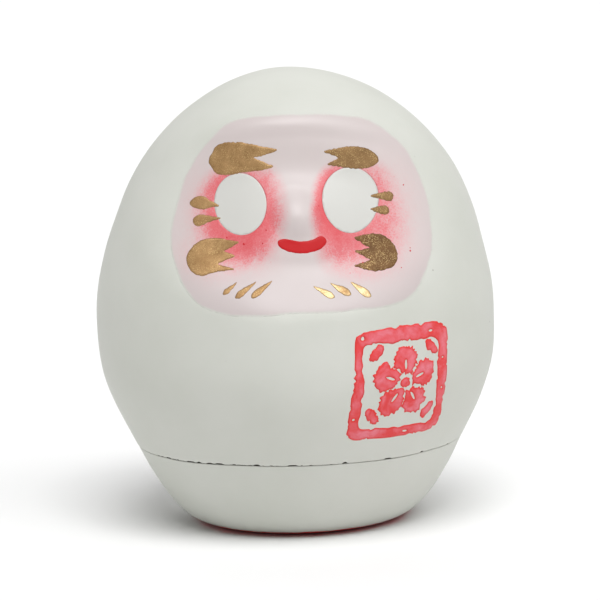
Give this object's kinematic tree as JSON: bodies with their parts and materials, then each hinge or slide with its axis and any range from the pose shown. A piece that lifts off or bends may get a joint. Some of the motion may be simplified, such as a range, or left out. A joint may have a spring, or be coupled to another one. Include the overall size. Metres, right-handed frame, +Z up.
{
  "type": "daruma doll",
  "caption": "Egg-shaped papier-mache daruma doll on a rounded weighted base, with a recessed painted face and a stamped red blossom seal.",
  "frame": {"origin": "centre of the flat foot, on the surface the doll stands on", "axes": "+Z up through the crown, -Y out of the face, +X to the right of somebody who looks at the face"},
  "size_m": [0.1146, 0.1146, 0.13],
  "materials": {
    "shell_paint": "satin",
    "base_paint": "satin",
    "clay": "matte",
    "glue": "satin",
    "face_paint": "satin",
    "eye_paint": "satin",
    "gold_paint": "satin",
    "mouth_paint": "satin",
    "seal_ink": "matte"
  },
  "bodies": {
    "root": {"body_shell": "shell_paint", "base_bowl": "base_paint", "clay_weight": "clay", "glue_ring": "glue", "face_panel": "face_paint", "eye_left": "eye_paint", "eye_right": "eye_paint", "brow_left": "gold_paint", "brow_right": "gold_paint", "temple_stroke_left_upper": "gold_paint", "temple_stroke_left_lower": "gold_paint", "temple_stroke_right_upper": "gold_paint", "temple_stroke_right_lower": "gold_paint", "cheek_tuft_left": "gold_paint", "cheek_tuft_right": "gold_paint", "chin_stroke_left_1": "gold_paint", "chin_stroke_left_2": "gold_paint", "chin_stroke_left_3": "gold_paint", "chin_stroke_right_1": "gold_paint", "chin_stroke_right_2": "gold_paint", "chin_stroke_right_3": "gold_paint", "mouth": "mouth_paint", "seal_frame": "seal_ink", "seal_blossom": "seal_ink"}
  },
  "joints": []
}
